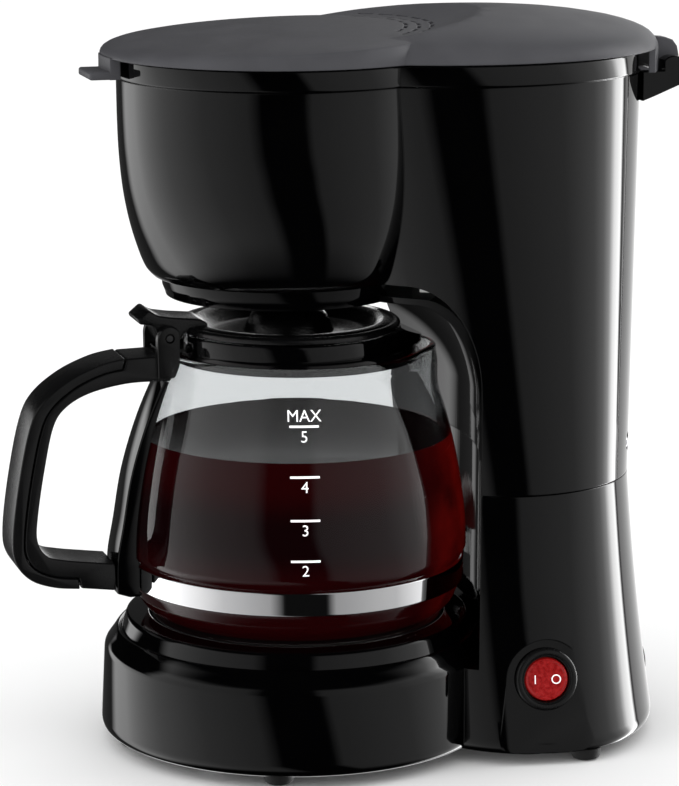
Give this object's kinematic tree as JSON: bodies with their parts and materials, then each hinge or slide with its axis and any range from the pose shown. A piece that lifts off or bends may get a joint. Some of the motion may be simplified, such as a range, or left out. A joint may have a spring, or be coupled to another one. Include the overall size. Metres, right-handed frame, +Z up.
{
  "type": "drip coffee maker",
  "caption": "Compact drip coffee maker: figure-eight housing with hinged lid, glass jug on a warming plate, filter basket, water tank, rocker switch.",
  "frame": {"origin": "centre of the footprint box, on the counter under the feet", "axes": "+Z up; -Y towards the front, where the jug's handle points; +X is the side with the switch"},
  "size_m": [0.139, 0.2392, 0.257],
  "materials": {
    "housing_black": "high-gloss moulded black",
    "lid_satin": "satin, finely textured",
    "grip_black": "satin black",
    "inner_black": "satin black",
    "foot_rubber": "matte",
    "steel": "satin",
    "band_chrome": "mirror polished",
    "heater_aluminium": "as cast",
    "plate_coating": "satin non-stick coating",
    "rocker_red": "translucent red",
    "silicone": "milky",
    "tank_plastic": "milky",
    "filter_mesh": "fine nylon mesh in a frame",
    "jug_glass": "clear"
  },
  "bodies": {
    "housing": {"base_housing": "housing_black", "base_plate": "inner_black", "foot_1": "foot_rubber", "foot_2": "foot_rubber", "foot_3": "foot_rubber", "foot_4": "foot_rubber", "foot_5": "foot_rubber", "base_screw_1": "steel", "base_screw_2": "steel", "base_screw_3": "steel", "base_screw_4": "steel", "cord_inlet": "inner_black", "warming_plate": "plate_coating", "heater_block": "heater_aluminium", "heater_bridge": "steel", "bridge_screw": "steel", "thermostat": "steel", "thermal_fuse": "steel", "switch_body": "inner_black", "upper_housing": "housing_black", "bay_liner": "housing_black", "back_cover": "housing_black", "cover_screw_left": "steel", "cover_screw_right": "steel", "water_tank": "tank_plastic", "check_valve_body": "inner_black", "cold_water_hose": "silicone", "hot_water_hose": "silicone", "riser_pipe": "silicone", "spout_nozzle": "inner_black", "lid_hinge_pin": "steel"},
    "lid": {"machine_lid": "lid_satin", "shower_head": "inner_black"},
    "rocker": {"switch_rocker": "rocker_red"},
    "valve_ball": {"check_valve_ball": "steel"},
    "basket": {"brew_basket": "inner_black"},
    "filter": {"filter_cone": "filter_mesh"},
    "drip_stop": {"drip_stop_plunger": "inner_black", "drip_stop_seal": "foot_rubber", "drip_stop_spring": "steel"},
    "jug": {"glass_jug": "jug_glass", "steel_band": "band_chrome", "jug_collar": "housing_black", "jug_handle": "housing_black", "handle_grip": "grip_black", "handle_strap": "housing_black", "strap_screw": "steel", "jug_hinge_pin": "steel"},
    "jug_lid": {"jug_lid": "housing_black"}
  },
  "joints": [
    {"name": "lid_hinge", "type": "hinge", "parent": "housing", "child": "lid", "pos_m": [0, 0.1143, 0.2345], "axis": [-1, 0, 0], "range_deg": [0, 100]},
    {"name": "rocker_pivot", "type": "hinge", "parent": "housing", "child": "rocker", "pos_m": [0.05905, 0.0569, 0.0297], "axis": [-0.1467, 0.018, 0.989], "range_deg": [0, 14]},
    {"name": "valve_ball_slide", "type": "slide", "parent": "housing", "child": "valve_ball", "axis": [0, 0, 1], "range_m": [0, 0.0013]},
    {"name": "basket_slide", "type": "slide", "parent": "housing", "child": "basket", "axis": [0, 0, 1], "range_m": [0, 0.005]},
    {"name": "filter_slide", "type": "slide", "parent": "basket", "child": "filter", "axis": [0, 0, 1], "range_m": [0, 0.0045]},
    {"name": "drip_stop_slide", "type": "slide", "parent": "basket", "child": "drip_stop", "axis": [0, 0, 1], "range_m": [0, 0.004], "deforming": ["drip_stop_spring"]},
    {"name": "jug_slide", "type": "slide", "parent": "housing", "child": "jug", "axis": [0, -1, 0], "range_m": [0, 0.2]},
    {"name": "jug_lid_hinge", "type": "hinge", "parent": "jug", "child": "jug_lid", "pos_m": [0, -0.0639, 0.1469], "axis": [1, 0, 0], "range_deg": [0, 5]}
  ],
  "couplings": [
    {"joint": "drip_stop_slide", "follows": "jug_lid_hinge", "m_per_rad": 0.0447}
  ]
}
